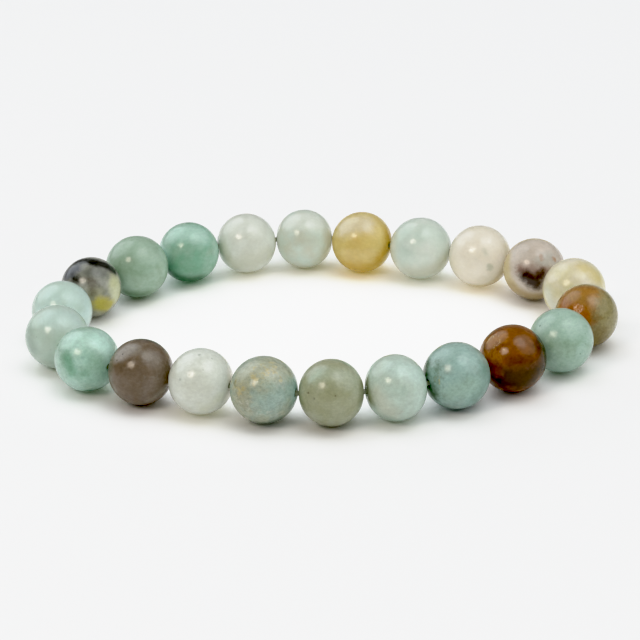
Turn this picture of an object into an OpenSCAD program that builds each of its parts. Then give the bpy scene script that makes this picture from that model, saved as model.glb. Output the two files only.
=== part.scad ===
// Stretch bracelet of polished round stone beads on one elastic thread, lying on a table.
// Every bead is drilled, and rests on the plane z = 0. The loop is an easy oval, longest along X.

/* [Beads] */
// Nominal diameter of a bead: the whole bracelet grows and shrinks with it
bead_d = 8; // [6:0.5:10]
// Diameter of the hole drilled through each bead
bore_d = 1; // [0.8:0.1:1.1]
// Diameter of the hole's chamfered mouth, where it opens at the end of a bead
mouth_d = 1.3; // [1.3:0.1:1.8]

/* [String] */
// Diameter of the stretch thread
thread_d = 0.6; // [0.4:0.1:0.6]
// Clear gap between neighbouring beads
bead_gap = 0.06; // [0.04:0.02:0.2]

/* [Smoothness] */
// Facets round a bead in a preview
bead_facets = 64; // [24:8:128]

/* [Hidden] */
// Columns of the table of beads. DIAMETER is across the hole and LENGTH along it, in mm on a
// bracelet of 8 mm beads. HEADING is the string's direction from the bead to the next one, in
// degrees anticlockwise from +X, and STONE is the name of its stone.
DIAMETER = 0;
LENGTH = 1;
HEADING = 2;
STONE = 3;
// Beads in stringing order, anticlockwise seen from above, from the front bead at the left end.
// No two natural stones are quite the same size. The loop closes on its last two beads, so
// their headings follow from the others.
BEADS = [
    [7.90, 7.90, 302.0, "celadon"],
    [7.95, 7.95, 328.5, "mint"],
    [8.05, 7.80, 338.0, "taupe"],
    [8.00, 7.70, 339.5, "ivory"],
    [8.10, 8.10, 351.5, "mottled"],
    [8.05, 7.70, 6.5, "olive"],
    [8.00, 7.20, 20.5, "celadon"],
    [8.10, 8.10, 30.5, "teal"],
    [8.25, 8.10, 38.5, "amber"],
    [7.95, 7.95, 61.0, "mint"],
    [7.95, 7.95, 94.5, "russet"],
    [8.10, 8.10, 123.0, "lemon"],
    [8.10, 8.10, 145.5, "mauve"],
    [8.20, 8.20, 157.5, "ivory"],
    [8.25, 8.25, 160.0, "celadon"],
    [8.15, 8.15, 166.5, "honey"],
    [7.95, 7.60, 188.0, "celadon"],
    [8.05, 7.95, 198.5, "ivory"],
    [8.05, 8.05, 215.5, "mint"],
    [8.25, 8.25, 226.0, "sage"],
    [7.85, 7.85, undef, "smoky"],
    [7.75, 7.75, undef, "celadon"],
];
// Colour of each kind of stone
STONES = [
    ["celadon", [0.72, 0.81, 0.77]],
    ["mint", [0.50, 0.72, 0.63]],
    ["taupe", [0.40, 0.34, 0.30]],
    ["ivory", [0.83, 0.82, 0.75]],
    ["mottled", [0.55, 0.60, 0.53]],
    ["olive", [0.52, 0.56, 0.47]],
    ["teal", [0.46, 0.59, 0.57]],
    ["amber", [0.42, 0.20, 0.06]],
    ["russet", [0.60, 0.44, 0.25]],
    ["lemon", [0.84, 0.82, 0.68]],
    ["mauve", [0.70, 0.62, 0.57]],
    ["honey", [0.80, 0.70, 0.42]],
    ["sage", [0.55, 0.64, 0.54]],
    ["smoky", [0.50, 0.48, 0.36]],
];
thread_colour = [0.88, 0.90, 0.89];
thread_sides = 8;
// A mouth is a 45 degree chamfer
mouth_depth = (mouth_d - bore_d) / 2;

bead_count = len(BEADS);
bead_ids = [0 : bead_count - 1];

function bead_name(i) = str("bead_", i < 9 ? "0" : "", i + 1);
function diameter(i) = BEADS[i][DIAMETER] * bead_d / 8;
function length(i) = BEADS[i][LENGTH] * bead_d / 8;
function stone_colour(i) = STONES[search([BEADS[i][STONE]], STONES)[0]][1];
function after(i) = (i + 1) % bead_count;
function before(i) = (i + bead_count - 1) % bead_count;
function unit(v) = v / norm(v);
function direction(angle) = [cos(angle), sin(angle)];

// A bead shorter than it is wide is a ball whose profile circle has moved off the hole's axis.
// This is how far it reaches from its centre, in a direction at this angle to its hole.
function reach(i, angle) = (length(i) + (diameter(i) - length(i)) * abs(sin(angle))) / 2;
// The hole of each bead that is shorter than it is wide lies within this angle of the string on
// both its sides
corner = 13;
// Distance between the centres of a bead and the next one
function chord(i) = reach(i, corner) + reach(after(i), corner) + bead_gap;

// Corner of a triangle on the side from a to b, to the right of it, from its other two sides
function apex(a, b, from_a, from_b) = let (
    side = norm(b - a),
    along = (from_a * from_a - from_b * from_b + side * side) / (2 * side),
    off = sqrt(from_a * from_a - along * along),
    u = unit(b - a)
) a + along * u + off * [u.y, -u.x];

// Place of a bead on the table, one chord after another from the first bead at [0, 0]
function strung(i) = i == 0 ? [0, 0] : strung(i - 1) + chord(i - 1) * direction(BEADS[i - 1][HEADING]);
// The last bead lies next to both its neighbours, outside the line between them, and closes the loop
last = bead_count - 1;
closing = apex(strung(last - 1), strung(0), chord(last - 1), chord(last));
places = concat([for (i = [0 : last - 1]) strung(i)], [closing]);
// Every bead rests on the table, so its centre is as high as its radius
loop = [for (i = bead_ids) [places[i].x, places[i].y, diameter(i) / 2]];

// Direction of the string from a bead to the next one, and the one that halves its turn at a bead
function ahead(i) = unit(loop[after(i)] - loop[i]);
function halfway(i) = unit(ahead(before(i)) + ahead(i));
function flat(v) = [v.x, v.y];
function half_turn(i) = asin(cross(flat(ahead(before(i))), flat(halfway(i))));
// Holes that only halve the turns miss each other where two turns differ. This is by how much,
// as the angle that one of the two beads would have to swing by.
function miss(i) = half_turn(after(i)) - half_turn(i);
// The stretched thread swings the beads until their holes face each other. Each pass gives every
// bead half of the swing that its two neighbours still ask of it.
swing_passes = 12;
function swung(swings, passes) = passes == 0 ? swings : swung([
    for (i = bead_ids)
        swings[i] / 2 + (miss(i) - swings[after(i)] + miss(before(i)) - swings[before(i)]) / 4
], passes - 1);
swings = swung([for (i = bead_ids) 0], swing_passes);
function hole_angle(i) = atan2(halfway(i).y, halfway(i).x) - swings[i];
function hole_fall(i) = acos(halfway(i).z);
function hole_direction(i) = concat(sin(hole_fall(i)) * direction(hole_angle(i)), cos(hole_fall(i)));

// The oval is moved so that its bounding box is centred on the origin
left = min([for (i = bead_ids) loop[i].x - reach(i, hole_angle(i))]);
right = max([for (i = bead_ids) loop[i].x + reach(i, hole_angle(i))]);
front = min([for (i = bead_ids) loop[i].y - reach(i, 90 - hole_angle(i))]);
back = max([for (i = bead_ids) loop[i].y + reach(i, 90 - hole_angle(i))]);
middle = [left + right, front + back, 0] / 2;
function centre(i) = loop[i] - middle;

// Half of a bead's profile: its circle, cut off at the hole's axis
module half_profile(i) {
    intersection() {
        translate([(diameter(i) - length(i)) / 2, 0]) circle(d = length(i));
        translate([0, -length(i)]) square([diameter(i), 2 * length(i)]);
    }
}

// Drill and countersinks for a hole along z
module drill(bead_length) {
    cylinder(d = bore_d, h = 2 * bead_length, center = true);
    for (end = [0, 1])
        mirror([0, 0, end])
            translate([0, 0, bead_length / 2 - mouth_depth])
                cylinder(d1 = bore_d, d2 = bore_d + 4 * mouth_depth, h = 2 * mouth_depth);
}

// One drilled stone bead where it lies, with its hole along the string
module bead(i) {
    color(stone_colour(i))
        translate(centre(i))
            rotate([0, hole_fall(i), hole_angle(i)])
                difference() {
                    rotate_extrude() half_profile(i);
                    drill(length(i));
                }
}

// The thread is straight inside each bead and turns at the bottom of its two mouths
thread_points = [
    for (i = bead_ids, end = [-1, 1]) centre(i) + end * (length(i) / 2 - mouth_depth) * hole_direction(i)
];
// Ring of points round the thread at point k, square to the halved turn there
function thread_ring(k) = let (
    n = len(thread_points),
    p = thread_points[k],
    along = unit(unit(thread_points[(k + 1) % n] - p) + unit(p - thread_points[(k + n - 1) % n])),
    side = unit(cross([0, 0, 1], along)),
    up = cross(along, side)
) [for (j = [0 : thread_sides - 1])
    p + thread_d / 2 * (cos(j * 360 / thread_sides) * side + sin(j * 360 / thread_sides) * up)];

// One closed loop of round stretch thread through every bore, swept ring by ring
module elastic_thread() {
    n = len(thread_points);
    m = thread_sides;
    rings = [for (k = [0 : n - 1]) each thread_ring(k)];
    walls = [
        for (k = [0 : n - 1], j = [0 : m - 1])
            let (here = k * m, there = (k + 1) % n * m, turn = (j + 1) % m)
                [here + j, there + j, there + turn, here + turn]
    ];
    color(thread_colour) polyhedron(rings, walls, convexity = 4);
}

$fn = bead_facets;
for (i = bead_ids)
    bead(i);
elastic_thread();
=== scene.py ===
# %% [markdown]
# # A stretch bracelet of polished stone beads
# The bracelet is twenty-two natural stones on one elastic thread, and it lies on a pale table.
# Each stone is a ball that was ground round, drilled through and tumbled until it shone.
# The drilled stones come from a CAD model, which fixes where each bead lies and how wide its hole is.
# What is left to make here is what the eye enjoys: the gloss, the depth and the clouds of the stone.

import bpy
import numpy as np
from mathutils import Matrix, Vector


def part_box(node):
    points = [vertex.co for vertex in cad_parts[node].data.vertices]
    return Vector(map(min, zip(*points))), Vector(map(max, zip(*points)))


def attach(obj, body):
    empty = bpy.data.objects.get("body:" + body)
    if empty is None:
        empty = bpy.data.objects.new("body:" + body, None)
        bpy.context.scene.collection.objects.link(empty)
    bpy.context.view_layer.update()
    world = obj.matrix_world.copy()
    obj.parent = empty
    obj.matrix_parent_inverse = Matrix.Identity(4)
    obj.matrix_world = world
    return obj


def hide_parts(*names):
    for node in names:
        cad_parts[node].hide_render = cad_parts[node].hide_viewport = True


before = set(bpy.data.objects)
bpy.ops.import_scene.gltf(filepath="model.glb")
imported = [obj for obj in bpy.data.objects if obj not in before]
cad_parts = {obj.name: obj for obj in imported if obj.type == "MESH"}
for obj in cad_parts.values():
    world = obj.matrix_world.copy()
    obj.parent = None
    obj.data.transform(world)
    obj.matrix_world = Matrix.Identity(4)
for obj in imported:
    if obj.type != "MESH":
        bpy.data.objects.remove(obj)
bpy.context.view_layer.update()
MM = 0.001
BEADS = sorted(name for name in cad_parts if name.startswith("bead_"))

# %% [markdown]
# ## Reading the beads
# A bead needs five facts: where it is, which way its hole points, how wide it is across the hole,
# how long it is along it, and how big the hole is. They could be typed in again, but then two files
# would have to agree. They are measured on the CAD model instead, so this script follows it.
#
# The bore is narrow, so of all the corner points of a bead, those at the two ends of the bore lie
# nearest to its centre. The middles of the two ends give the hole's direction.


# %% Measure each bead
def unit(vectors):
    """Vectors of length 1 in the same directions: each one divided by its own length."""
    return vectors / np.linalg.norm(vectors, axis=-1, keepdims=True)


def corner_points(name):
    """The corner points of a CAD node's mesh, one row each, in metres."""
    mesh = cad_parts[name].data
    numbers = np.zeros(3 * len(mesh.vertices))
    mesh.vertices.foreach_get("co", numbers)
    return numbers.reshape(-1, 3)


boxes = np.array([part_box(name) for name in BEADS])
centres = boxes.mean(axis=1)
widths = boxes[:, 1, 2] - boxes[:, 0, 2]
to_next = np.roll(centres, -1, axis=0) - centres

HAIR = 0.002 * MM
BORE_STEP = 0.05 * MM


def measure_bead(name, centre, onward, width):
    """Hole direction, length, bore radius, mouth bottom and mouth rim of one bead.

    The hole's direction is the mean of the bore's end points, after those that don't lie onward
    change their sign.
    The rim of the mouth is the bead's furthest point along the hole. It lies on the profile's
    circle, whose diameter is the length: length = w + z * z / w, where z is how far along the
    hole the rim is, and w how far it is in from the bead's girth.
    """
    offsets = corner_points(name) - centre
    distance = np.linalg.norm(offsets, axis=1)
    bore_end = distance < distance.min() + BORE_STEP
    ends = offsets[bore_end]
    hole = unit((ends * np.sign(ends @ onward)[:, None]).mean(axis=0))
    along = np.abs(offsets @ hole)
    away = np.linalg.norm(np.cross(offsets, hole), axis=1)
    rim_along = along.max()
    rim_away = away[along > rim_along - HAIR].mean()
    inward = width / 2 - rim_away
    return {
        "hole": hole,
        "width": width,
        "length": inward + rim_along**2 / inward,
        "bore": away[bore_end].mean(),
        "bottom": along[bore_end].mean(),
        "rim": (rim_away, rim_along),
    }


sizes = [measure_bead(*row) for row in zip(BEADS, centres, to_next, widths)]
holes = np.array([size["hole"] for size in sizes])
for name, size in zip(BEADS, sizes):
    print(f"{name}: {size['width'] / MM:.2f} mm across, {size['length'] / MM:.2f} mm along the hole,"
          f" bore {2 * size['bore'] / MM:.2f} mm, mouth {2 * size['rim'][0] / MM:.2f} mm")

# %% [markdown]
# ## The camera
# The picture was taken with a long lens from a little above the table, and the camera was hardly
# tilted to one side. A long lens keeps the near and the far beads almost the same size. The numbers
# were found by laying the circles of the beads over the picture until they agreed.
# There is no depth of field, because it would blur other views of the same model as well.

# %% Place the camera
LENS_MM = 133.4
SENSOR_MM = 36.0
CAMERA_DISTANCE = 0.2966
CAMERA_ELEVATION = 24.56
CAMERA_AZIMUTH = -0.107
CAMERA_ROLL = 1.48
LOOK_AT = np.array([-0.0003, -0.0030, 0.0040])
WORLD_UP = np.array([0.0, 0.0, 1.0])


def direction(azimuth, elevation):
    """Unit vector seen from the middle of the bracelet, in degrees.

    Azimuth 0 is on the camera's side and grows to the right. Elevation is up from the table.
    """
    a, e = np.radians([azimuth, elevation])
    return np.array([np.sin(a) * np.cos(e), -np.cos(a) * np.cos(e), np.sin(e)])


def facing(toward, roll=0.0):
    """Rows right, up and toward of something that looks back along toward, rolled in degrees."""
    right = unit(np.cross(WORLD_UP, toward))
    up = np.cross(toward, right)
    c, s = np.cos(np.radians(roll)), np.sin(np.radians(roll))
    return np.array([c * right - s * up, s * right + c * up, toward])


def place(obj, axes, location):
    """Turns an object so that its own x, y and z run along the rows of axes, at location."""
    matrix = np.eye(4)
    matrix[:3, :3] = axes.T
    matrix[:3, 3] = location
    obj.matrix_world = Matrix(matrix.tolist())


def new_object(name, data):
    """Adds an object with this data to the scene."""
    obj = bpy.data.objects.new(name, data)
    bpy.context.scene.collection.objects.link(obj)
    return obj


camera_toward = direction(CAMERA_AZIMUTH, CAMERA_ELEVATION)
camera_axes = facing(camera_toward, CAMERA_ROLL)
camera_place = LOOK_AT + CAMERA_DISTANCE * camera_toward
lens = bpy.data.cameras.new("long_lens")
lens.lens = LENS_MM
lens.sensor_width = SENSOR_MM
lens.clip_start = 0.01
camera = new_object("camera", lens)
place(camera, camera_axes, camera_place)
bpy.context.scene.camera = camera
print("camera at", (camera_place / MM).round(1), "mm")

# %% [markdown]
# ## The studio
# Polished stone is a mirror first, so the beads in the picture show the whole studio: a big soft
# light high on the right, a cooler one high at the back on the left, a dark gap between them, the
# white table below, and one small warm lamp near the camera. So each light is placed by its
# reflection and not by taste. A reflection on a ball lies halfway between the light and the eye,
# and its outline gives the light's width and height. Brightness is given as a mirror shows it. An
# area light's power is that brightness times its area times pi.
#
# Light also reaches the near sides of translucent stones from inside, while the table under them
# stays dark. Four white boards stand in for it. They are linked to the bracelet alone: they don't
# light the table, no reflection shows them, and their light passes through a bead to its
# neighbour. The table has a light of its own high at the back, which keeps it white and the
# shadows close to the beads.


# %% Hang the soft lights
bracelet = bpy.data.collections.new("bracelet")
furniture = bpy.data.collections.new("furniture")


def soft_light(name, azimuth, elevation, distance, width, height, brightness, colour, roll=0.0):
    """An oval light that faces the bracelet, with its brightness as a mirror would show it."""
    light = bpy.data.lights.new(name, "AREA")
    light.shape = "ELLIPSE"
    light.size = width
    light.size_y = height
    area = np.pi / 4 * width * height
    light.energy = brightness * area * np.pi
    light.color = colour
    obj = new_object(name, light)
    toward = direction(azimuth, elevation)
    place(obj, facing(toward, roll), LOOK_AT + distance * toward)
    obj.visible_camera = False
    return obj


def light_only(receivers, blockers, *values):
    """A soft light for one collection of objects, in which another collection throws shadows."""
    board = soft_light(*values)
    board.visible_glossy = False
    board.light_linking.receiver_collection = receivers
    board.light_linking.blocker_collection = blockers


COOL = (0.86, 0.94, 1.0)
NEUTRAL = (0.96, 0.99, 1.0)
WARM = (1.0, 0.87, 0.74)
soft_light("right_soft_light", 78, 51, 1.00, 1.40, 1.50, 0.62, NEUTRAL)
soft_light("right_light_core", 72, 67, 0.98, 0.62, 0.62, 1.22, NEUTRAL)
soft_light("left_soft_light", 232, 38, 1.00, 1.05, 1.18, 1.18, COOL, roll=-20)
soft_light("small_warm_lamp", -43, 44, 0.60, 0.25, 0.20, 5.4, WARM, roll=-10)
light_only(bracelet, furniture, "left_board", -70, 14, 1.00, 1.10, 0.60, 0.84, NEUTRAL)
light_only(bracelet, furniture, "front_board", 20, 28, 1.00, 1.50, 1.40, 0.60, NEUTRAL)
light_only(bracelet, furniture, "right_board", 70, 9, 1.00, 1.20, 0.40, 0.98, NEUTRAL)
light_only(bracelet, furniture, "top_board", 20, 78, 1.00, 1.60, 1.60, 0.05, NEUTRAL)
light_only(furniture, bracelet, "table_light", 180, 75, 1.50, 1.60, 1.60, 1.50, NEUTRAL)

AIR_BRIGHTNESS = 0.29
world = bpy.data.worlds.new("studio_air")
world.use_nodes = True
air = world.node_tree.nodes["Background"].inputs
air["Color"].default_value = (1.0, 0.99, 0.97, 1.0)
air["Strength"].default_value = AIR_BRIGHTNESS
bpy.context.scene.world = world

# %% [markdown]
# ## The film
# The picture has the contrast of a product photograph: what is nearly black is printed black, the
# middle tones are spread out, and the white table is so bright that it runs into plain white.
# The curve below does the same. Each point gives a brightness in the scene and how it is printed.

# %% Set the tone curve
FILM_BLACK = 0.05
FILM_WHITE = 1.45
PLAIN_WHITE = 0.98
FILM_CURVE = [(0.25, 0.25), (0.45, 0.50), (0.70, 0.81), (0.80, 0.885), (1.00, 0.945), (1.20, 0.965)]
view = bpy.context.scene.view_settings
view.view_transform = "Standard"
view.use_curve_mapping = True
view.curve_mapping.black_level = (FILM_BLACK,) * 3
view.curve_mapping.white_level = (FILM_WHITE,) * 3
combined = view.curve_mapping.curves[3]
combined.points[1].location = (1.0, PLAIN_WHITE)
for scene_light, printed in FILM_CURVE:
    combined.points.new((scene_light - FILM_BLACK) / (FILM_WHITE - FILM_BLACK), printed)
view.curve_mapping.update()

# %% [markdown]
# ## Making materials
# A stone is coloured by its minerals: broad clouds, harder patches, thin veins and tiny specks.
# Many of the patches are painted light and shade.
# Each of these is one node group with named inputs, made once and placed in every stone with that
# stone's own values. A group only hands on a mask or a number. The shader stays in the material.
#
# Patterns are laid out in the bead's own unit ball: a Mapping node takes the bead's centre away
# and divides by its radius. They fill the stone as the real minerals do, so they run on round the
# back and into the hole without a seam.


# %% Helpers for node trees
def set_inputs(tree, node, inputs):
    """Sets or links a node's inputs, each by its name or number."""
    for key, value in inputs.items():
        if isinstance(value, bpy.types.NodeSocket):
            tree.links.new(value, node.inputs[key])
        else:
            node.inputs[key].default_value = value


def add_node(tree, kind, inputs=None, output=0, **settings):
    """Adds a shader node with its inputs and settings, and returns one of its outputs."""
    made = tree.nodes.new("ShaderNode" + kind)
    for name, value in settings.items():
        setattr(made, name, value)
    set_inputs(tree, made, inputs or {})
    return made.outputs[output]


def maths(tree, operation, first, second=0.0):
    """One step of arithmetic on numbers."""
    return add_node(tree, "Math", {0: first, 1: second}, operation=operation)


def vector_maths(tree, operation, first, second, output=0):
    """One step of arithmetic on vectors. Output 1 is the one that is a number."""
    return add_node(tree, "VectorMath", {0: first, 1: second}, output, operation=operation)


def scaled(tree, vector, amount):
    """A vector made longer or shorter by a number."""
    return add_node(tree, "VectorMath", {0: vector, "Scale": amount}, operation="SCALE")


def ease(tree, value, start, end):
    """A number that eases from 0 where value is start to 1 where it is end."""
    span = {"Value": value, "From Min": start, "From Max": end}
    return add_node(tree, "MapRange", span, interpolation_type="SMOOTHSTEP")


def mix_colour(tree, mask, under, over):
    """Lays the colour over on the colour under where the mask is 1."""
    return add_node(tree, "Mix", {0: mask, 6: under, 7: over}, 2, data_type="RGBA")


def new_material(name):
    """A material, its node tree and its Principled shader."""
    material = bpy.data.materials.new(name)
    material.use_nodes = True
    return material, material.node_tree, material.node_tree.nodes["Principled BSDF"]


def waxy(glow_mm):
    """Inputs of the Principled shader for a stuff in which light of any colour wanders this far."""
    return {"Subsurface Weight": 1.0, "Subsurface Radius": (1.0, 1.0, 1.0),
            "Subsurface Scale": glow_mm * MM}


def use_group(tree, group, inputs):
    """Places a node group with its own values."""
    return add_node(tree, "Group", inputs, node_tree=group)


def new_group(name, result_name, **sockets):
    """A node group with number or vector inputs, from their names and first values, and one result."""
    group = bpy.data.node_groups.new(name, "ShaderNodeTree")
    for label, value in sockets.items():
        kind = "NodeSocketFloat" if isinstance(value, float) else "NodeSocketVector"
        group.interface.new_socket(label, in_out="INPUT", socket_type=kind).default_value = value
    result_kind = "NodeSocketVector" if result_name == "Point" else "NodeSocketFloat"
    group.interface.new_socket(result_name, in_out="OUTPUT", socket_type=result_kind)
    inside = group.nodes.new("NodeGroupInput").outputs
    result = group.nodes.new("NodeGroupOutput").inputs[0]
    return group, inside, result


ORIGIN = (0.0, 0.0, 0.0)

# %% [markdown]
# ## Clouds, veins, specks and grain
# The broad clouds are soft noise, pushed towards light and dark by an easing curve. Veins are the
# thin skin where a second noise passes its middle value. Specks are small balls of dark mineral,
# one in each cell of a Voronoi pattern, most of them switched off. Grain is fine noise drawn out
# along the hole: the small crystals of the stone, which make it a little lighter and darker.


# %% Build the groups for clouds, veins, specks and grain
def noise(group, inside, detail, output=0):
    """Four-dimensional noise, whose fourth coordinate is the seed."""
    values = {"Vector": inside["Point"], "W": inside["Seed"], "Scale": inside["Scale"],
              "Detail": detail, "Roughness": 0.6}
    return add_node(group, "TexNoise", values, output, noise_dimensions="4D")


def cloud_group():
    """Mask of broad soft clouds: noise eased from 0 to 1 around its middle value."""
    group, inside, result = new_group(
        "stone clouds", "Mask", Point=ORIGIN, Scale=1.5, Detail=3.0, Softness=0.15, Seed=0.0)
    low = maths(group, "SUBTRACT", 0.5, inside["Softness"])
    high = maths(group, "ADD", 0.5, inside["Softness"])
    group.links.new(ease(group, noise(group, inside, inside["Detail"]), low, high), result)
    return group


def vein_group():
    """Mask of thin wandering veins: 1 where a noise is at its middle value, 0 a width away."""
    group, inside, result = new_group(
        "stone veins", "Mask", Point=ORIGIN, Scale=2.0, Width=0.02, Seed=0.0)
    middle = maths(group, "SUBTRACT", noise(group, inside, 4.0), 0.5)
    near = ease(group, maths(group, "ABSOLUTE", middle), 0.0, inside["Width"])
    group.links.new(maths(group, "SUBTRACT", 1.0, near), result)
    return group


def speck_group():
    """Mask of specks: a ball round the point of each Voronoi cell, kept in a share of the cells."""
    group, inside, result = new_group(
        "stone specks", "Mask", Point=ORIGIN, Scale=6.0, Size=0.2, Share=0.2, Seed=0.0)
    values = {"Vector": inside["Point"], "W": inside["Seed"], "Scale": inside["Scale"]}
    distance = add_node(group, "TexVoronoi", values, voronoi_dimensions="4D")
    colour = distance.node.outputs["Color"]
    chance = add_node(group, "SeparateColor", {"Color": colour})
    kept = maths(group, "LESS_THAN", chance, inside["Share"])
    outside = ease(group, distance, 0.0, inside["Size"])
    ball = maths(group, "SUBTRACT", 1.0, outside)
    group.links.new(maths(group, "MULTIPLY", ball, kept), result)
    return group


def grain_group():
    """Fine noise from about -0.5 to 0.5, with its crystals longer by Stretch in one direction."""
    group, inside, result = new_group(
        "stone grain", "Grain", Point=ORIGIN, Along=ORIGIN, Stretch=2.0, Scale=12.0, Seed=0.0)
    far = vector_maths(group, "DOT_PRODUCT", inside["Point"], inside["Along"], 1)
    shorter = maths(group, "SUBTRACT", maths(group, "DIVIDE", 1.0, inside["Stretch"]), 1.0)
    pull = scaled(group, inside["Along"], maths(group, "MULTIPLY", far, shorter))
    values = {"Vector": vector_maths(group, "ADD", inside["Point"], pull), "W": inside["Seed"],
              "Scale": inside["Scale"], "Detail": 5.0, "Roughness": 0.7}
    crystals = add_node(group, "TexNoise", values, noise_dimensions="4D")
    middle = maths(group, "SUBTRACT", crystals, 0.5)
    group.links.new(maths(group, "MULTIPLY", middle, 2.0), result)
    return group


CLOUDS = cloud_group()
VEINS = vein_group()
SPECKS = speck_group()
GRAIN = grain_group()

# %% [markdown]
# ## Marks, and painted light and shade
# What makes each bead itself is where its patches lie: a brown blotch low in the middle, a black
# band over the top. Many marks are painted light and shade instead: upper parts made paler where
# the soft lights fall and reflect, bottoms made darker where a bead meets the table, a top rim made
# darker, edges lightened and darkened where neighbours touch, rims tinted as light through a
# translucent edge shows them, and a highlight painted into a chip. A mark is a stroke of a soft
# brush over the unit ball, from one point to another. Its mask depends on the distance to the
# nearest place of the stroke, which is found on the straight line between the two points and lifted
# back onto the ball. Adding noise to the point first makes the edge ragged.


# %% Build the groups for marks
def wobble_group():
    """Pushes each point about by noise, by up to half of Amount in every direction."""
    group, inside, result = new_group(
        "stone wobble", "Point", Point=ORIGIN, Scale=3.0, Amount=0.2, Seed=0.0)
    push = vector_maths(group, "SUBTRACT", noise(group, inside, 4.0, output=1), (0.5, 0.5, 0.5))
    pushed = vector_maths(group, "ADD", inside["Point"], scaled(group, push, inside["Amount"]))
    group.links.new(pushed, result)
    return group


def mark_group():
    """Mask of a brush stroke over the unit ball: 1 near its line, easing to 0 past Size."""
    # Used for the stone's own patches and for painted light and shade alike.
    group, inside, result = new_group(
        "stone mark and painted light", "Mask", Point=ORIGIN, From=ORIGIN, To=ORIGIN, Size=0.2, Softness=0.1)
    stroke = vector_maths(group, "SUBTRACT", inside["To"], inside["From"])
    offset = vector_maths(group, "SUBTRACT", inside["Point"], inside["From"])
    squared = maths(group, "ADD", vector_maths(group, "DOT_PRODUCT", stroke, stroke, 1), 1e-6)
    share = maths(group, "DIVIDE", vector_maths(group, "DOT_PRODUCT", offset, stroke, 1), squared)
    clamped = add_node(group, "Clamp", {"Value": share})
    on_line = vector_maths(group, "ADD", inside["From"], scaled(group, stroke, clamped))
    nearest = vector_maths(group, "NORMALIZE", on_line, ORIGIN)
    distance = vector_maths(group, "DISTANCE", inside["Point"], nearest, 1)
    start = maths(group, "SUBTRACT", inside["Size"], inside["Softness"])
    end = maths(group, "ADD", inside["Size"], inside["Softness"])
    group.links.new(maths(group, "SUBTRACT", 1.0, ease(group, distance, start, end)), result)
    return group


WOBBLE = wobble_group()
MARK = mark_group()

# %% [markdown]
# ## Colours
# The colours were judged on the lit beads, as they look on a screen, from 0 to 255. A shader
# wants how much light the stone itself sends back. So each colour is made linear and taken back
# through the film, the thin haze of the polish is taken away, and what is left is divided by the
# share of the studio's light that reaches a bead. What is printed as nearly black may have been
# anything darker than the film's black, so there the stone sends back nothing.

# %% Name the colours
FILM_GAIN = 1.25
HAZE = 0.03
LIT = 0.875
NEARLY_BLACK = 0.05
PALEST = 0.95
COLOURS = {
    "sea ice": (186, 205, 200), "ice mint": (186, 216, 206), "celadon": (173, 186, 174),
    "pale celadon": (180, 197, 186), "ice celadon": (188, 200, 190),
    "grey celadon": (152, 169, 157), "celadon shade": (164, 180, 167), "mint": (148, 174, 157),
    "pale mint": (176, 204, 193), "mint green": (124, 166, 143), "deep mint": (104, 150, 122),
    "forest": (70, 112, 82), "sage": (136, 158, 136), "pale moss": (162, 170, 150),
    "pale sage": (160, 182, 165), "deep sage": (108, 134, 106), "moss": (84, 106, 76),
    "grey mint": (146, 171, 153), "pale grey mint": (164, 188, 175), "teal": (138, 156, 146),
    "bright teal": (155, 181, 174), "blue teal": (150, 170, 161), "deep teal": (116, 144, 132),
    "dark teal": (78, 102, 86), "fern": (80, 100, 74), "sea grey": (148, 160, 148),
    "white jade": (194, 197, 186), "ice white": (203, 208, 200), "warm white": (217, 211, 199),
    "snow": (206, 210, 203), "greige": (186, 188, 172), "olive": (148, 150, 120),
    "pale olive": (164, 168, 148), "olive grey": (154, 153, 128), "deep olive": (122, 126, 86),
    "olive shade": (100, 104, 72), "khaki": (136, 122, 72), "grey khaki": (142, 134, 96),
    "dark khaki": (118, 102, 54), "taupe": (104, 89, 68), "grey taupe": (118, 106, 92),
    "brown taupe": (106, 91, 70), "umber": (72, 58, 38), "ash": (136, 129, 118),
    "amber": (94, 55, 10), "orange amber": (130, 82, 18), "gold amber": (158, 112, 44),
    "dark gold": (120, 78, 22), "red amber": (88, 54, 12), "dark amber": (46, 12, 0),
    "russet": (154, 98, 32), "tan gold": (158, 116, 54), "copper": (158, 110, 50),
    "pale copper": (200, 148, 104), "cream": (203, 197, 162), "pale straw": (191, 193, 158),
    "straw": (196, 182, 124), "ivory": (212, 206, 188), "sand": (186, 172, 132),
    "beige": (203, 194, 166), "ochre": (194, 173, 112), "gold": (182, 150, 56),
    "mustard": (172, 162, 62), "ochre fleck": (188, 175, 126), "honey": (202, 186, 126),
    "grey ochre": (160, 140, 98), "mauve grey": (187, 177, 165), "pale mauve": (196, 186, 175),
    "rose brown": (132, 106, 94), "brown black": (56, 38, 18), "rust": (156, 112, 72),
    "smoke": (128, 129, 118), "pale smoke": (160, 161, 152), "dark smoke": (100, 103, 94),
    "ink": (22, 22, 14), "slate": (76, 78, 86), "speck grey": (120, 130, 118),
}


def reflected(name):
    """A named screen colour as the linear share of light that the stone sends back, with alpha."""
    screen = np.array(COLOURS[name]) / 255
    printed = np.where(screen <= 0.04045, screen / 12.92, ((screen + 0.055) / 1.055) ** 2.4)
    scene_light = printed / FILM_GAIN + FILM_BLACK * np.clip(screen / NEARLY_BLACK, 0.0, 1.0)
    return (*np.clip((scene_light - HAZE) / LIT, 0.0, PALEST), 1.0)


print(len(COLOURS), "colours")

# %% [markdown]
# ## One row for each stone
# The first table gives each stone its record slot, its two body colours, the clouds between them,
# the grain, and how far light wanders inside it, in millimetres. Pale stones glow, dark ones hardly
# do. The last column is the share of the light that passes right through and tints the shadow.

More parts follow.
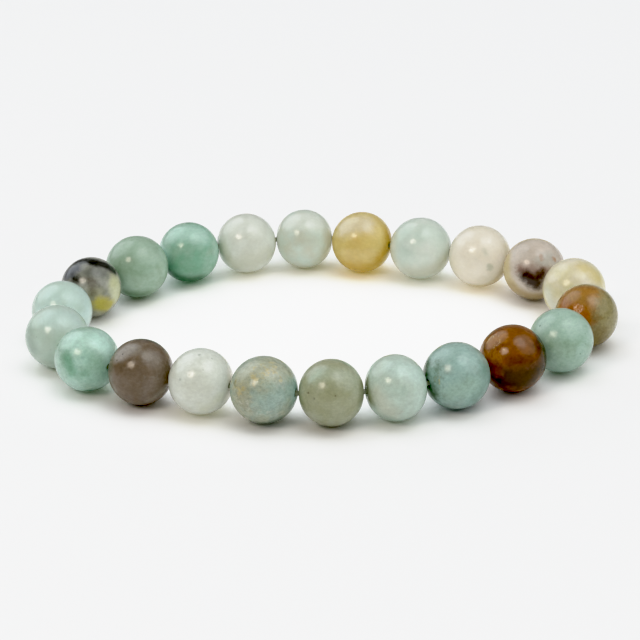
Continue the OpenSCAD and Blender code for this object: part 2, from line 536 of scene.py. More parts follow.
# %% Describe the stones
STONE_COLUMNS = (
    "slot", "body", "cloud", "cloud_scale", "softness", "veins", "specks", "grain", "glow", "through")
STONES = {
    "bead_01": ("stone_celadon", "pale celadon", "celadon", 1.3, 0.2, 0.15, 0.03, 0.12, 1.4, 0.2),
    "bead_02": ("stone_mint", "mint", "pale mint", 1.6, 0.2, 0.2, 0.1, 0.32, 1.0, 0.15),
    "bead_03": ("stone_taupe", "taupe", "grey taupe", 2.2, 0.14, 0.4, 0.08, 0.45, 0.3, 0.03),
    "bead_04": ("stone_ivory", "white jade", "snow", 1.5, 0.2, 0.25, 0.06, 0.2, 1.8, 0.32),
    "bead_05": ("stone_mottled", "sea grey", "pale olive", 2.4, 0.14, 0.3, 0.12, 0.5, 0.8, 0.04),
    "bead_06": ("stone_olive", "olive", "pale olive", 1.6, 0.2, 0.2, 0.08, 0.28, 0.9, 0.04),
    "bead_07": ("stone_celadon", "celadon", "pale celadon", 1.8, 0.18, 0.25, 0.05, 0.28, 1.4, 0.16),
    "bead_08": ("stone_teal", "teal", "bright teal", 1.7, 0.2, 0.2, 0.1, 0.34, 0.7, 0.01),
    "bead_09": ("stone_amber", "amber", "orange amber", 2.4, 0.12, 0.3, 0.06, 0.5, 0.3, 0.01),
    "bead_10": ("stone_mint", "grey mint", "pale grey mint", 1.6, 0.2, 0.15, 0.14, 0.3, 1.0, 0.12),
    "bead_11": ("stone_russet", "khaki", "grey khaki", 1.2, 0.14, 0.2, 0.04, 0.5, 0.8, 0.06),
    "bead_12": ("stone_lemon", "cream", "ivory", 1.5, 0.18, 0.15, 0.03, 0.14, 1.6, 0.3),
    "bead_13": ("stone_mauve", "mauve grey", "pale mauve", 1.6, 0.18, 0.15, 0.06, 0.2, 1.2, 0.1),
    "bead_14": ("stone_ivory", "warm white", "ivory", 1.4, 0.22, 0.1, 0.02, 0.1, 1.8, 0.55),
    "bead_15": ("stone_celadon", "ice white", "ice celadon", 1.2, 0.22, 0.1, 0.02, 0.1, 1.8, 0.36),
    "bead_16": ("stone_honey", "honey", "ochre", 1.4, 0.18, 0.15, 0.03, 0.16, 1.5, 0.46),
    "bead_17": ("stone_celadon", "greige", "ice celadon", 1.4, 0.2, 0.1, 0.02, 0.12, 1.8, 0.32),
    "bead_18": ("stone_ivory", "white jade", "snow", 1.4, 0.2, 0.05, 0.03, 0.12, 1.8, 0.38),
    "bead_19": ("stone_mint", "mint green", "mint", 1.5, 0.2, 0.1, 0.05, 0.2, 0.9, 0.16),
    "bead_20": ("stone_sage", "sage", "pale sage", 1.5, 0.2, 0.1, 0.04, 0.18, 0.9, 0.12),
    "bead_21": ("stone_smoky", "smoke", "pale smoke", 1.8, 0.14, 0.2, 0.06, 0.25, 0.8, 0.12),
    "bead_22": ("stone_celadon", "pale celadon", "sea ice", 1.3, 0.2, 0.1, 0.02, 0.12, 1.6, 0.2),
}

# %% [markdown]
# The second table holds the marks, painted one over the other in this order. x is to the right and
# y is up from the middle of the bead as the picture shows it, in per cent of the bead's radius, and
# a stroke runs from the first point to the second. The other numbers are in per cent too. Ragged
# is how far noise pushes the edge about.

# %% Chart the marks
MARK_COLUMNS = ("colour", "x", "y", "to_x", "to_y", "size", "soft", "ragged", "strength")
SPECK_SOFT = 2
SPECK_RAGGED = 10


def speck(colour, x, y, size, strength):
    """A small crisp mark: a stroke that ends where it starts."""
    return (colour, x, y, x, y, size, SPECK_SOFT, SPECK_RAGGED, strength)


MARKS = {
    "bead_01": [
        # Painted light: the upper part made paler where the soft lights fall and reflect.
        ("sea ice", -20, 60, 50, 55, 40, 30, 20, 70),
        ("grey celadon", -90, 10, -80, -35, 26, 20, 20, 90),
        # Painted shade: the bottom made darker where the bead meets the table.
        ("celadon shade", -20, -75, 30, -75, 40, 30, 20, 50),
    ],
    "bead_02": [
        # Painted light: the upper part made paler where the soft lights fall and reflect.
        ("pale mint", -45, 55, 40, 55, 40, 25, 30, 80),
        ("deep mint", -62, 2, -50, -28, 18, 16, 30, 75),
        # Painted reflection of the soft light at the upper right.
        ("ice mint", 30, 55, 55, 35, 22, 20, 30, 70),
        ("mint green", 5, 0, 40, -60, 30, 24, 40, 30),
        ("deep mint", -45, -45, -10, -50, 20, 20, 50, 50),
        # Painted shade: the bottom made darker where the bead meets the table.
        ("forest", 10, -97, 50, -88, 14, 12, 10, 70),
        # Painted light: the left edge lightened where the neighbour's shade falls.
        ("sea ice", -98, 15, -85, -50, 10, 10, 10, 70),
    ],
    "bead_03": [
        # Painted reflections of the two soft lights: this row upper left, the next upper right.
        ("ash", -60, 55, -20, 68, 26, 16, 50, 80),
        ("ash", 20, 52, 45, 40, 22, 18, 30, 40),
        ("brown taupe", -85, 15, -35, 5, 20, 14, 40, 90),
        ("grey taupe", -45, -5, 60, -5, 22, 24, 60, 70),
        ("taupe", -60, -50, -30, -60, 26, 20, 40, 70),
        ("grey taupe", 30, -45, 60, -40, 20, 18, 50, 60),
        # Painted shade: the top rim made darker.
        ("umber", 0, 97, 80, 58, 12, 12, 20, 70),
        ("ash", 20, -86, 72, -48, 10, 10, 30, 70),
        ("ash", 10, -15, 55, -22, 4, 4, 40, 40),
        # Painted light: the right edge lightened by light reflected from the white neighbour bead.
        ("ash", 96, 15, 92, -30, 12, 12, 30, 80),
        ("ash", -92, -20, -75, -55, 8, 8, 20, 50),
        speck("ink", -55, 53, 3, 70),
        speck("ink", -72, 34, 3, 70),
    ],
    "bead_04": [
        # Painted reflections of the two soft lights: this row upper left, the next upper right.
        ("snow", -55, 30, -40, 60, 25, 20, 30, 50),
        ("snow", 35, 40, 45, 30, 28, 20, 30, 50),
        # Painted light: the right edge lightened where the neighbour's shade falls.
        ("warm white", 94, 15, 88, -40, 24, 18, 10, 90),
        ("pale straw", 55, -50, 10, -80, 18, 20, 20, 30),
        # Painted shade: the bottom rim tinted darker olive where the bead meets the table.
        ("pale olive", -10, -99, 50, -87, 6, 10, 10, 40),
        ("speck grey", -3, 78, -3, 78, 4, 3, 20, 50),
        speck("speck grey", 32, 68, 3, 60),
        ("speck grey", -62, 5, -62, 5, 4, 3, 10, 40),
        speck("speck grey", -35, 17, 3, 40),
    ],
    "bead_05": [
        # Partly the stone's pale veins, partly painted light: this row and the next make the upper
        # part paler where the soft lights fall and reflect.
        ("pale olive", -50, 45, 45, 60, 36, 30, 50, 90),
        ("greige", -45, 55, 45, 50, 20, 24, 60, 40),
        ("blue teal", 5, -40, 60, -10, 38, 36, 80, 85),
        ("olive grey", -70, 5, -60, -40, 24, 24, 70, 80),
        ("ochre fleck", -38, 30, -12, 22, 8, 8, 100, 70),
        ("ochre fleck", -20, 48, 25, 52, 8, 10, 140, 80),
        ("ochre fleck", 20, 70, 30, 55, 6, 8, 120, 60),
        ("ochre fleck", 38, 42, 45, 36, 6, 7, 120, 80),
        ("ochre fleck", -88, 20, -60, -5, 7, 8, 120, 70),
        ("greige", 20, 35, 55, 25, 4, 6, 140, 60),
        ("olive shade", -86, 22, -84, 16, 5, 5, 40, 50),
        ("pale smoke", 42, 20, 60, 5, 5, 8, 100, 40),
        ("greige", -75, -25, -45, -45, 7, 8, 140, 60),
        ("smoke", -60, -35, -55, -50, 8, 10, 120, 40),
        ("greige", -10, -65, 20, -70, 5, 7, 120, 50),
        # Painted light: the right edge lightened where the neighbour's shade falls.
        ("bright teal", 90, 20, 88, -25, 20, 18, 30, 80),
        # Painted shade: the bottom made darker where the bead meets the table.
        ("dark teal", -30, -95, 45, -86, 16, 14, 10, 70),
    ],
    "bead_06": [
        # Painted light: the upper part made paler where the soft lights fall and reflect.
        ("pale moss", -50, 50, 50, 48, 34, 30, 40, 70),
        ("olive", 0, 85, 30, 80, 16, 20, 30, 60),
        # Painted reflection of the soft light at the upper left.
        ("pale sage", -55, 42, -38, 55, 16, 20, 40, 40),
        ("deep olive", -10, 2, 45, 5, 14, 18, 50, 15),
        ("olive", -60, -20, 30, -50, 40, 25, 30, 60),
        # Painted shade: the left edge darkened where the neighbour touches.
        ("deep olive", -97, 5, -88, -30, 12, 12, 20, 70),
        ("deep olive", -55, -45, -20, -60, 18, 20, 40, 30),
        # Painted shade: the right edge darkened where the neighbour touches.
        ("olive shade", 90, 10, 88, -25, 14, 14, 20, 40),
        ("sage", 10, 97, 75, 62, 12, 12, 20, 60),
        # Painted shade: the bottom made darker where the bead meets the table.
        ("olive shade", -20, -97, 40, -92, 8, 10, 10, 60),
        ("umber", -70, 0, -66, -1, 3, 2, 10, 60),
        speck("umber", -50, -17, 3, 50),
        speck("umber", 12, -11, 2, 60),
    ],
    "bead_07": [
        # Painted light: the upper part made paler where the soft lights fall and reflect.
        ("sea ice", 0, 62, 50, 45, 34, 20, 30, 50),
        ("greige", -60, -20, -20, -75, 30, 22, 30, 60),
        # Painted shade and reflection: the left edge darkened where the neighbour touches and is
        # mirrored.
        ("deep olive", -95, 10, -85, -35, 24, 16, 20, 80),
        # Painted shade: the bottom made darker where the bead meets the table.
        ("grey celadon", -25, -90, 30, -95, 16, 16, 10, 70),
        ("grey celadon", 15, -5, 30, -15, 8, 8, 70, 40),
        ("rose brown", 15, -75, 15, -72, 4, 4, 40, 30),
    ],
    "bead_08": [
        # Painted light: the upper part made paler where the soft lights fall and reflect.
        ("bright teal", -40, 60, 40, 55, 34, 24, 30, 60),
        ("fern", -92, 25, -76, -52, 26, 16, 50, 100),
        ("fern", -60, 30, -55, -50, 12, 16, 100, 60),
        ("pale olive", -62, 10, -58, -20, 3, 4, 100, 50),
        ("deep teal", 85, 15, 55, -70, 24, 24, 30, 90),
        ("ochre fleck", -50, 12, -50, -20, 2, 2, 30, 60),
        ("grey mint", -10, -50, 45, -35, 28, 22, 30, 50),
        # Painted shade: the bottom made darker where the bead meets the table.
        ("dark teal", -45, -88, 30, -97, 10, 10, 10, 70),
    ],
    "bead_09": [
        # Partly the stone's golden streaks, partly painted light: the upper part made lighter where
        # the soft lights fall and reflect.
        ("orange amber", -60, 55, 25, 80, 36, 16, 40, 90),
        ("orange amber", -60, 10, 30, 30, 26, 18, 60, 90),
        # Partly golden streaks, partly painted reflections of the soft lights: this row upper left,
        # the next upper right.
        ("gold amber", -65, 50, -35, 62, 20, 16, 70, 70),
        ("dark gold", 30, 50, 50, 30, 16, 16, 60, 70),
        ("gold amber", -85, 10, -40, 2, 12, 12, 80, 70),
        ("ochre", -75, 48, -52, 66, 5, 6, 120, 70),
        ("ochre", -62, 30, -30, 40, 3, 5, 120, 50),
        ("tan gold", -75, 15, -30, 5, 5, 6, 120, 70),
        ("red amber", 0, -12, 50, -14, 16, 16, 50, 70),
        # Painted shade: the lower part made darker where the shaded table is reflected.
        ("dark amber", -25, -61, 60, -53, 36, 16, 40, 95),
        # Painted light: lifts the shade where the neighbour bead touches at the lower left.
        ("orange amber", -85, -28, -46, -40, 16, 14, 30, 90),
        # Painted shade: the right edge made darker where the neighbour touches.
        ("dark amber", 85, 45, 88, -20, 26, 18, 30, 100),
        ("red amber", 0, -45, 50, -45, 14, 22, 60, 20),
        ("copper", -48, -54, -46, -54, 3, 2, 10, 60),
    ],
    "bead_10": [
        # Painted light: the upper part made paler where the soft lights fall and reflect.
        ("pale grey mint", -30, 55, 45, 50, 36, 24, 30, 80),
        ("sage", -30, -15, 35, -20, 20, 18, 50, 50),
        # Painted shade: the bottom made darker where the bead meets the table.
        ("deep sage", -40, -95, 20, -98, 12, 14, 10, 70),
        # Painted light: the right edge lightened where the neighbour's shade falls.
        ("sea ice", 99, 20, 92, -35, 5, 5, 10, 70),
        speck("dark teal", -65, 44, 3, 60),
        speck("dark teal", -78, 56, 2, 70),
        speck("dark teal", 74, 19, 2, 50),
        speck("dark teal", 58, -41, 2, 60),
        speck("dark teal", -33, -27, 2, 40),
    ],
    "bead_11": [
        ("tan gold", -60, 68, 20, 75, 36, 22, 50, 90),
        ("copper", -30, 35, 10, 32, 22, 18, 50, 70),
        ("russet", -75, 30, -15, 5, 24, 16, 50, 90),
        ("russet", -10, 0, 8, -20, 16, 14, 40, 70),
        # Partly the chip's pale scratches, partly a painted highlight where the chip breaks up the
        # lamp's reflection.
        ("pale copper", -32, 22, -22, 26, 6, 5, 80, 60),
        ("grey khaki", 75, 40, 72, -35, 38, 26, 60, 90),
        ("pale olive", 99, 10, 90, -35, 8, 10, 10, 60),
        ("dark gold", 28, 5, 26, -15, 12, 16, 60, 60),
        ("dark khaki", 35, -50, 45, -85, 26, 20, 40, 80),
    ],
    "bead_12": [
        ("straw", 30, 70, 75, 35, 24, 22, 30, 70),
        ("white jade", -85, -10, -60, -60, 22, 16, 20, 60),
        # Painted light: this row and the next tint the top and left rims straw, as light through the
        # translucent edge shows them.
        ("straw", -30, 97, 60, 80, 10, 12, 10, 60),
        ("straw", -98, 15, -80, -55, 8, 10, 10, 50),
    ],
    "bead_13": [
        # Painted light and shade: this row and the next tint the left rim sand and the lower left
        # ochre, as light through the translucent edge shows them.
        ("sand", -92, 25, -70, -60, 30, 16, 10, 90),
        ("grey ochre", -70, -60, 15, -92, 28, 16, 10, 80),
        # Painted shade: the bottom made darker where the bead meets the table.
        ("dark khaki", -30, -95, 20, -98, 14, 12, 10, 70),
        # Painted light: the top rim tinted sand, as light through the translucent edge shows it.
        ("sand", -70, 70, 40, 90, 12, 12, 10, 80),
        ("pale smoke", 25, 20, 50, 35, 24, 20, 40, 50),
        ("rose brown", -45, 0, -5, -35, 15, 14, 40, 90),
        ("rose brown", -5, -30, 35, -5, 15, 14, 40, 90),
        ("rose brown", -10, 0, 10, -10, 20, 18, 40, 60),
        ("brown black", -25, -28, 5, -48, 22, 16, 40, 100),
        ("brown black", 0, -40, 25, -15, 12, 14, 40, 90),
        ("rust", 22, 42, 24, 30, 5, 6, 20, 50),
        ("rust", 64, 31, 64, 31, 8, 6, 20, 70),
    ],
    "bead_14": [
        # Painted light: the upper part made paler where the soft lights fall and reflect.
        ("warm white", -60, 40, 30, 50, 45, 25, 20, 80),
        # Painted light: this row and the next tint the right rim and the bottom rim sand, as light
        # through the translucent edge shows them.
        ("sand", 92, 15, 60, -72, 22, 18, 10, 70),
        ("sand", -30, -95, 50, -82, 20, 16, 10, 70),
        ("pale olive", 30, -35, 32, -40, 8, 8, 30, 60),
        ("greige", 16, 18, 18, 10, 8, 8, 30, 50),
    ],
    "bead_15": [
        # Painted light: the upper part made paler where the soft lights fall and reflect.
        ("ice celadon", -40, 50, 50, 50, 36, 22, 10, 50),
        # Painted shade: the lower part made darker.
        ("greige", -30, -80, 75, -45, 30, 24, 10, 90),
        # Painted light: the right rim tinted sand, as light through the translucent edge shows it.
        ("sand", 98, 5, 85, -45, 6, 8, 10, 50),
    ],
    "bead_16": [
        # Painted reflection of the soft light at the upper left.
        ("beige", -55, 50, 5, 62, 36, 22, 40, 90),
        # Painted light and shade: this row and the three after it tint the rims and the bottom a
        # deeper gold, as light through the translucent edge shows them.
        ("gold", 88, 30, 62, -55, 24, 22, 40, 80),
        ("gold", -60, -75, 40, -80, 32, 24, 30, 70),
        ("gold", -98, 10, -85, -45, 10, 14, 20, 40),
        ("gold", -30, 98, 75, 68, 8, 10, 10, 60),
    ],
    "bead_17": [
        # Painted light: the upper part made paler where the soft lights fall and reflect.
        ("ice white", -40, 60, 40, 60, 38, 22, 10, 90),
        ("greige", 5, -5, 30, -8, 20, 20, 20, 50),
        # Painted light: this row and the next lighten the right and left edges where the neighbours'
        # shade falls.
        ("ice white", 93, 20, 92, -25, 24, 18, 10, 90),
        ("ice white", -93, 15, -92, -15, 18, 16, 10, 70),
        # Painted shade: the bottom made darker where the bead meets the table.
        ("pale olive", -40, -97, 60, -80, 10, 12, 10, 50),
    ],
    "bead_18": [
        # Painted light: the upper part made paler where the soft lights fall and reflect.
        ("snow", -40, 60, 30, 65, 36, 22, 10, 60),
        # Painted light: this row and the next tint the right rim and the top rim sand, as light
        # through the translucent edge shows them.
        ("sand", 97, 10, 60, -80, 8, 10, 10, 50),
        ("sand", -60, 80, 10, 99, 8, 10, 10, 60),
        # Painted shade: this row and the next make the lower part darker.
        ("greige", -80, -20, -40, -75, 22, 20, 20, 80),
        ("greige", 0, -60, 70, -40, 32, 24, 20, 80),
    ],
    "bead_19": [
        # Painted light: the upper part made paler where the soft lights fall and reflect.
        ("pale mint", -50, 60, 40, 60, 36, 24, 30, 80),
        ("deep mint", -40, -45, 30, -62, 24, 22, 40, 50),
        # Painted light: this row and the next lighten the left and right edges where the neighbours'
        # shade falls.
        ("pale mint", -95, 20, -80, -5, 22, 18, 20, 90),
        ("pale mint", 92, 20, 90, -20, 22, 18, 20, 50),
        # Painted shade: this row and the next make the bottom darker where the bead meets the table.
        ("forest", -68, -62, -35, -88, 22, 16, 30, 90),
        ("forest", -35, -88, 30, -90, 26, 16, 10, 100),
    ],
    "bead_20": [
        # Painted light: the upper part made paler where the soft lights fall and reflect.
        ("pale sage", -60, 50, 30, 60, 30, 24, 20, 60),
        # Painted shade: this row and the next make the bottom darker where the bead meets the table.
        ("deep sage", -30, -85, 30, -85, 18, 16, 20, 80),
        ("moss", -50, -88, 20, -98, 14, 12, 10, 90),
    ],
    "bead_21": [
        ("dark smoke", 0, 50, 45, 42, 24, 18, 30, 80),
        ("pale straw", 80, 12, 85, -30, 30, 20, 30, 90),
        ("olive grey", 15, -30, 40, -85, 28, 20, 30, 80),
        ("mustard", 30, -55, 55, -62, 26, 14, 30, 90),
        ("pale smoke", 10, 25, 50, 18, 12, 16, 40, 50),
        ("slate", -80, 40, -50, 62, 22, 16, 30, 90),
        ("ink", -66, 38, -46, 20, 12, 12, 30, 90),
        ("umber", -5, 20, 15, 14, 10, 14, 40, 60),
        ("umber", 0, -2, 5, -25, 10, 14, 40, 50),
        ("ink", -90, 35, -45, 85, 9, 10, 20, 70),
        ("ink", -45, 83, 10, 84, 18, 10, 20, 95),
        ("ink", 10, 81, 73, 56, 19, 9, 20, 95),
    ],
    "bead_22": [
        # Painted light: the upper part made paler where the soft lights fall and reflect.
        ("sea ice", -30, 60, 50, 55, 36, 22, 20, 50),
        # Painted light: the right edge lightened where the neighbour's shade falls.
        ("sea ice", 85, -10, 75, -50, 15, 12, 10, 60),
        ("celadon", -95, 20, -85, -30, 16, 16, 10, 70),
    ],
}
print(sum(len(rows) for rows in MARKS.values()), "marks")


# %% [markdown]
# ## From the picture to the stone
# A mark is charted as the picture shows it, on a disc. To paint it on the ball it needs a third
# coordinate, towards the camera. On a unit ball that is what is left over: the square root of
# 1 - x * x - y * y. Past the edge there is nothing left, so the mark sits right on the outline.


# %% Turn charted places into points of the unit ball
def shares(columns, row):
    """A charted row by the names of its columns, with each number turned from per cent to a share."""
    return {column: value if isinstance(value, str) else value / 100
            for column, value in zip(columns, row)}


def on_ball(centre, x, y):
    """The point of a bead's unit ball that shows x right and y up of its middle in the picture."""
    toward = unit(camera_place - centre)
    right = unit(np.cross(camera_axes[1], toward))
    up = np.cross(toward, right)
    return x * right + y * up + max(1 - x * x - y * y, 0.0) ** 0.5 * toward


# %% [markdown]
# ## The stone's material
# The Principled shader has what polished stone needs. Subsurface lets light wander inside the bead
# and come out beside where it went in, which makes the waxy glow. A low roughness and the index of
# refraction of stone make the clear reflections, and a faint slow bump bends them a little,
# because no polish is perfect.
#
# Light that goes right through a translucent bead comes out warmer and tints its shadow. Following
# it through two curved surfaces takes very long, so for shadow rays only the bead counts as
# coloured glass. A ray meets its surface twice, and each meeting takes the square root of the tint.

# %% Build a material for each stone
STONE_IOR = 1.57
POLISH_ROUGHNESS = 0.17
WOBBLE_SCALE = 5.0
VEIN_SCALE = 2.2
SPECK_SCALE = 9.0
SPECK_SIZE = 0.22
SPECK_DEPTH = 0.6
SPECK_COLOUR = (0.05, 0.05, 0.04, 1.0)
GRAIN_SCALE = 12.0
GRAIN_STRETCH = 1.5
GRAIN_BUMP = 0.8
BUMP_SCALE = 2.5
BUMP_SOFTNESS = 0.4
BUMP_MM = 0.022
STONE_WARMTH = np.array([1.0, 0.94, 0.74])


def stone_material(name, centre, hole, width, seed):
    """One bead's material: body and clouds, then veins, marks, specks and grain, then the polish.

    Each noise of a stone has its seed a little further on, so that no two of them run alike.
    """
    look = dict(zip(STONE_COLUMNS, STONES[name]))
    material, tree, shader = new_material(name + "_stone")
    place_in_world = add_node(tree, "TexCoord", output="Object")
    point = add_node(tree, "Mapping", {
        "Vector": place_in_world, "Location": centre, "Scale": (width / 2,) * 3,
    }, vector_type="TEXTURE")
    body, cloud = reflected(look["body"]), reflected(look["cloud"])
    clouds = use_group(tree, CLOUDS, {
        "Point": point, "Scale": look["cloud_scale"], "Softness": look["softness"], "Seed": seed})
    colour = mix_colour(tree, clouds, body, cloud)
    veins = use_group(tree, VEINS, {"Point": point, "Scale": VEIN_SCALE, "Seed": seed + 0.3})
    faint = maths(tree, "MULTIPLY", veins, look["veins"])
    colour = mix_colour(tree, faint, colour, cloud)
    # Marks: the stone's own patches, and many painted light and shade on tops, bottoms, edges and
    # rims.
    for row in MARKS[name]:
        mark = shares(MARK_COLUMNS, row)
        wobbled = use_group(tree, WOBBLE, {
            "Point": point, "Scale": WOBBLE_SCALE, "Amount": mark["ragged"], "Seed": seed + 0.6})
        mask = use_group(tree, MARK, {
            "Point": wobbled, "From": on_ball(centre, mark["x"], mark["y"]),
            "To": on_ball(centre, mark["to_x"], mark["to_y"]),
            "Size": mark["size"], "Softness": mark["soft"]})
        strength = maths(tree, "MULTIPLY", mask, mark["strength"])
        colour = mix_colour(tree, strength, colour, reflected(mark["colour"]))
    specks = use_group(tree, SPECKS, {
        "Point": point, "Scale": SPECK_SCALE, "Size": SPECK_SIZE, "Share": look["specks"],
        "Seed": seed})
    shade = mix_colour(tree, SPECK_DEPTH, colour, SPECK_COLOUR)
    colour = mix_colour(tree, specks, colour, shade)
    crystals = use_group(tree, GRAIN, {
        "Point": point, "Along": hole, "Stretch": GRAIN_STRETCH, "Scale": GRAIN_SCALE, "Seed": seed})
    grain = maths(tree, "MULTIPLY", crystals, look["grain"])
    brightness = maths(tree, "ADD", grain, 1.0)
    colour = add_node(tree, "HueSaturation", {"Color": colour, "Value": brightness})
    waves = use_group(tree, CLOUDS, {
        "Point": point, "Scale": BUMP_SCALE, "Detail": 1.0, "Softness": BUMP_SOFTNESS,
        "Seed": seed + 0.9})
    height = maths(tree, "ADD", waves, maths(tree, "MULTIPLY", grain, GRAIN_BUMP))
    normal = add_node(tree, "Bump", {
        "Height": height, "Distance": BUMP_MM * MM, "Strength": 1.0})
    set_inputs(tree, shader, {"Base Color": colour, "Normal": normal, "IOR": STONE_IOR,
                              "Roughness": POLISH_ROUGHNESS, **waxy(look["glow"])})
    is_shadow = add_node(tree, "LightPath", output="Is Shadow Ray")
    hue = np.array(body[:3]) / max(body[:3]) * STONE_WARMTH
    tint = (look["through"] * hue) ** 0.5
    passing = add_node(tree, "BsdfTransparent", {"Color": (*tint, 1.0)})
    seen = add_node(tree, "MixShader", {
        0: is_shadow, 1: shader.outputs["BSDF"], 2: passing})
    tree.links.new(seen, tree.nodes["Material Output"].inputs["Surface"])
    return material


# %% [markdown]
# ## The shape of a bead
# A bead is a surface of revolution: one closed profile turned once round the hole. The profile goes
# over the outside, in through the mouth, along the bore and out through the other mouth, back to
# its start. So the grid closes on itself both ways, like a ring. It has no poles, and none of the
# long thin faces that a modifier leaves round a drilled hole.


# %% Shape a bead
AROUND = 128
OVER = 72
MOUTH_SHARES = np.array([0.08, 0.35, 0.65, 0.92])[:, None]
BORE_SHARES = np.linspace(0.03, 0.97, 9)[:, None]


def bead_profile(size, over):
    """Closed profile of a bead: columns away from the hole's axis and along it, in metres.

    The outside is an arc of a circle as wide as the bead is long, whose centre lies off the axis
    by half of what the bead is wider than long: away = core + r cos(t), along = r sin(t).
    Corners are skipped by a small share of each straight, so every corner gets a narrow bevel.
    """
    radius = size["length"] / 2
    core = (size["width"] - size["length"]) / 2
    rim_away, rim_along = size["rim"]
    bore, bottom = size["bore"], size["bottom"]
    end = np.arctan2(rim_along, rim_away - core)
    t = np.linspace(end, -end, over)
    outside = np.stack([core + radius * np.cos(t), radius * np.sin(t)], axis=1)
    rim, mouth = np.array([rim_away, rim_along]), np.array([bore, bottom])
    going_in = (1 - MOUTH_SHARES) * rim * (1, -1) + MOUTH_SHARES * mouth * (1, -1)
    through = (1 - BORE_SHARES) * mouth * (1, -1) + BORE_SHARES * mouth
    going_out = going_in[::-1] * (1, -1)
    return np.concatenate([outside, going_in, through, going_out])


def turned(profile, centre, hole, around):
    """Grid of points: the profile's away and along, turned round the hole through the centre."""
    side = unit(np.cross(WORLD_UP, hole))
    up = np.cross(hole, side)
    u = np.linspace(0, 2 * np.pi, around, endpoint=False)[:, None, None]
    outward = np.cos(u) * side + np.sin(u) * up
    return centre + profile[:, :1] * outward + profile[:, 1:] * hole


def mesh_object(name, points, faces):
    """An object from its corner points and the numbers of each face's corners."""
    mesh = bpy.data.meshes.new(name)
    mesh.from_pydata(points, [], faces)
    return new_object(name, mesh)


def closed_grid(name, points):
    """A smooth mesh from a grid of points that closes on itself both ways."""
    rows, columns = points.shape[:2]
    number = np.arange(rows * columns).reshape(rows, columns)
    beside = np.roll(number, -1, axis=0)
    over = np.roll(number, -1, axis=1)
    faces = np.stack([number, over, np.roll(beside, -1, axis=1), beside], axis=-1)
    obj = mesh_object(name, points.reshape(-1, 3), faces.reshape(-1, 4))
    obj.data.shade_smooth()
    return obj


def volume(points):
    """Volume inside a closed grid, by the divergence theorem: a sixth of the sum of the triple
    products of each triangle's corners. It is positive when the faces point outwards."""
    a = points
    b = np.roll(points, -1, axis=1)
    c = np.roll(b, -1, axis=0)
    d = np.roll(points, -1, axis=0)
    triangles = np.concatenate([np.stack([a, b, c]), np.stack([a, c, d])], axis=1)
    return (triangles[0] * np.cross(triangles[1], triangles[2])).sum() / 6


# %% [markdown]
# Tumbling rounds a stone but never makes it a perfect ball: it keeps shallow flats a few hundredths
# of a millimetre deep. They are waves over the ball, pushed only inwards, so no bead grows into
# its neighbour or into the table.

# %% Press shallow flats into the outside
FLAT_MM = 0.035
WAVES = 5
WAVE_NUMBERS = (1.5, 4.0)
FADE_START = 0.85
FADE_DEPTH = 0.08


def shallow_flats(points, centre, width, chance):
    """Moves a grid's points towards the centre, by the mean of a few cosines in random directions.

    depth = FLAT_MM * (1 + mean(cos(k . p + phase))) / 2, for the unit ball's point p, and it
    fades to nothing inside the bead, so that the bore stays straight.
    """
    ball = (points - centre) / (width / 2)
    distance = np.linalg.norm(ball, axis=-1, keepdims=True)
    waves = unit(chance.normal(size=(WAVES, 3))) * chance.uniform(*WAVE_NUMBERS, size=(WAVES, 1))
    phases = chance.uniform(0, 2 * np.pi, size=WAVES)
    depth = FLAT_MM * MM * (1 + np.cos(ball @ waves.T + phases).mean(axis=-1, keepdims=True)) / 2
    outside = np.clip((distance - FADE_START) / FADE_DEPTH, 0, 1)
    return points - unit(ball) * depth * outside


# %% [markdown]
# Two stones have damage that shows. Bead 3 has small pits in its upper left, and bead 11 has a
# cracked chip beside its highlight. A chip is several small dents that run into each other, so its
# edge is ragged and it glints. These two beads get a finer grid, or the dents would be too coarse.
# The dents are charted in per cent like the marks, and their depth in hundredths of a millimetre.

# %% Press dents into two beads
DENT_COLUMNS = ("x", "y", "size", "depth_mm")
DENTS = {
    "bead_03": [
        (-55, 53, 3.5, 5),
        (-72, 34, 3.5, 5),
        (-63, 44, 2.5, 2),
    ],
    "bead_11": [
        (-31, 24, 5, 6),
        (-24, 30, 4, 8),
        (-20, 21, 3, 5),
        (-34, 33, 3, 5),
        (-26, 14, 3.5, 5),
        (-14, 28, 3, 3),
    ],
}


def dented(points, centre, width, dents):
    """Presses round dents into a grid, towards the centre, each depth * exp(-(d / size)^2) deep.

    d is the distance from the dent's middle in the bead's radii.
    """
    for row in dents:
        dent = shares(DENT_COLUMNS, row)
        middle = centre + width / 2 * on_ball(centre, dent["x"], dent["y"])
        distance = np.linalg.norm(points - middle, axis=-1, keepdims=True) / (width / 2)
        depth = dent["depth_mm"] * MM * np.exp(-((distance / dent["size"]) ** 2))
        points = points - unit(points - centre) * depth
    return points


# %% Make the beads
SEED_STEP = 1.7

for index, name in enumerate(BEADS):
    chance = np.random.default_rng(index + 1)
    finer = 2 if name in DENTS else 1
    profile = bead_profile(sizes[index], finer * OVER)
    grid = turned(profile, centres[index], holes[index], finer * AROUND)
    grid = shallow_flats(grid, centres[index], widths[index], chance)
    grid = dented(grid, centres[index], widths[index], DENTS.get(name, []))
    bead = closed_grid("polished_" + name, grid)
    bead.data.materials.append(
        stone_material(name, centres[index], holes[index], widths[index], seed=index * SEED_STEP))
    bracelet.objects.link(bead)
    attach(bead, "root")
    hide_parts(name)
    print(f"{bead.name}: {len(bead.data.polygons)} faces, {volume(grid) / MM**3:.0f} cubic mm")

# %% [markdown]
# ## The thread
# Stretch bracelets are strung on one clear elastic thread, about 0.6 mm thick. Its colour is an
# olive grey: painted shade, as dark as the shaded gaps and bores it shows in. It is straight inside
# each bead and turns where the bead ends, at the bottom of the mouth. A circle carried along those
# points, always square to the halved turn, makes the tube.

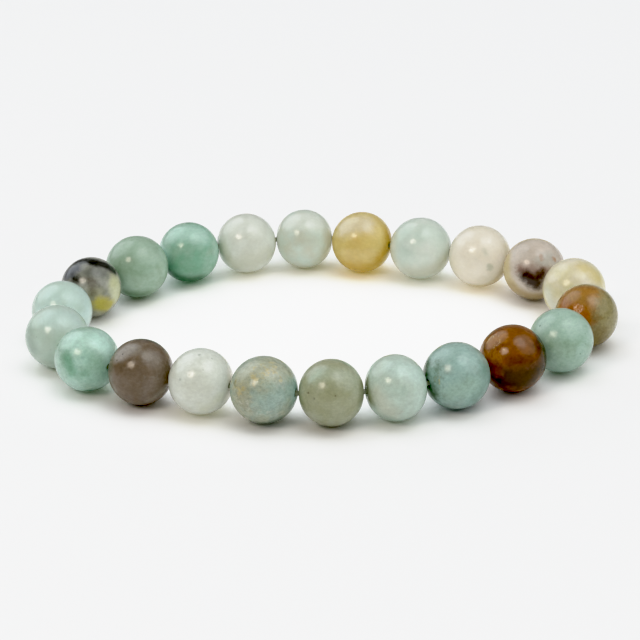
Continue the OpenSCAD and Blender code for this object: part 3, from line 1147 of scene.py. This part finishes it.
# %% Make the thread
THREAD_SIDES = 16
THREAD_MM = 0.6
THREAD_GLOW_MM = 0.2
THREAD_ROUGHNESS = 0.25
# Painted shade: the clear thread coloured as dark as the shaded holes it lies in.
THREAD_PAINTED_SHADE = (0.22, 0.24, 0.17, 1.0)


def tube(path, radius):
    """Grid of points round a closed path: a circle at each of its points, square to the path."""
    ahead = unit(np.roll(path, -1, axis=0) - path)
    along = unit(ahead + np.roll(ahead, 1, axis=0))
    side = unit(np.cross(WORLD_UP, along))
    up = np.cross(along, side)
    t = np.linspace(0, 2 * np.pi, THREAD_SIDES, endpoint=False)[None, :, None]
    return path[:, None] + radius * (np.cos(t) * side[:, None] + np.sin(t) * up[:, None])


bottoms = np.array([size["bottom"] for size in sizes])
ends = np.array([-1.0, 1.0])[None, :, None]
path = (centres[:, None] + ends * bottoms[:, None, None] * holes[:, None]).reshape(-1, 3)
grid = tube(path, THREAD_MM * MM / 2)
thread = closed_grid("clear_elastic_thread", grid)
elastic, tree, skin = new_material("clear_elastic")
set_inputs(tree, skin, {"Base Color": THREAD_PAINTED_SHADE, "Roughness": THREAD_ROUGHNESS,
                        **waxy(THREAD_GLOW_MM)})
thread.data.materials.append(elastic)
bracelet.objects.link(thread)
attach(thread, "root")
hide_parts("elastic_thread")
print(f"thread: {np.linalg.norm(np.roll(path, -1, 0) - path, axis=1).sum() / MM:.1f} mm round,"
      f" {volume(grid) / MM**3:.0f} cubic mm")

# %% [markdown]
# ## The table
# The bracelet lies on white card, just glossy enough to give each bead a soft reflection where it
# stands. Inside the bracelet the card's colour is made brighter: a painted pool of light. The
# painted pool is an oval, so it is measured with x made shorter.

# %% Lay the table
TABLE_RADIUS = 3.0
TABLE_SIDES = 96
PAINTED_LIGHT_EASE = (0.018, 0.036)
OVAL = (0.75, 1.0, 1.0)
CARD_ROUGHNESS = 0.45
CARD_IOR = 1.35
PAINTED_LIGHT_CARD = (0.94, 0.94, 0.95, 1.0)
OUTER_CARD = (0.77, 0.77, 0.78, 1.0)

t = np.linspace(0, 2 * np.pi, TABLE_SIDES, endpoint=False)
edge = TABLE_RADIUS * np.stack([np.cos(t), np.sin(t), 0 * t], axis=1)
table = mesh_object("table", edge, [list(range(TABLE_SIDES))])
card, tree, paper = new_material("white_card")
squeezed = add_node(tree, "Mapping", {
    "Vector": add_node(tree, "TexCoord", output="Object"), "Scale": OVAL})
from_middle = vector_maths(tree, "LENGTH", squeezed, ORIGIN, 1)
# Painted light: the card eases from its brighter colour inside the bracelet to its plain colour
# further out.
past_painted_light = ease(tree, from_middle, *PAINTED_LIGHT_EASE)
shade = mix_colour(tree, past_painted_light, PAINTED_LIGHT_CARD, OUTER_CARD)
set_inputs(tree, paper, {"Base Color": shade, "Roughness": CARD_ROUGHNESS, "IOR": CARD_IOR})
table.data.materials.append(card)
furniture.objects.link(table)
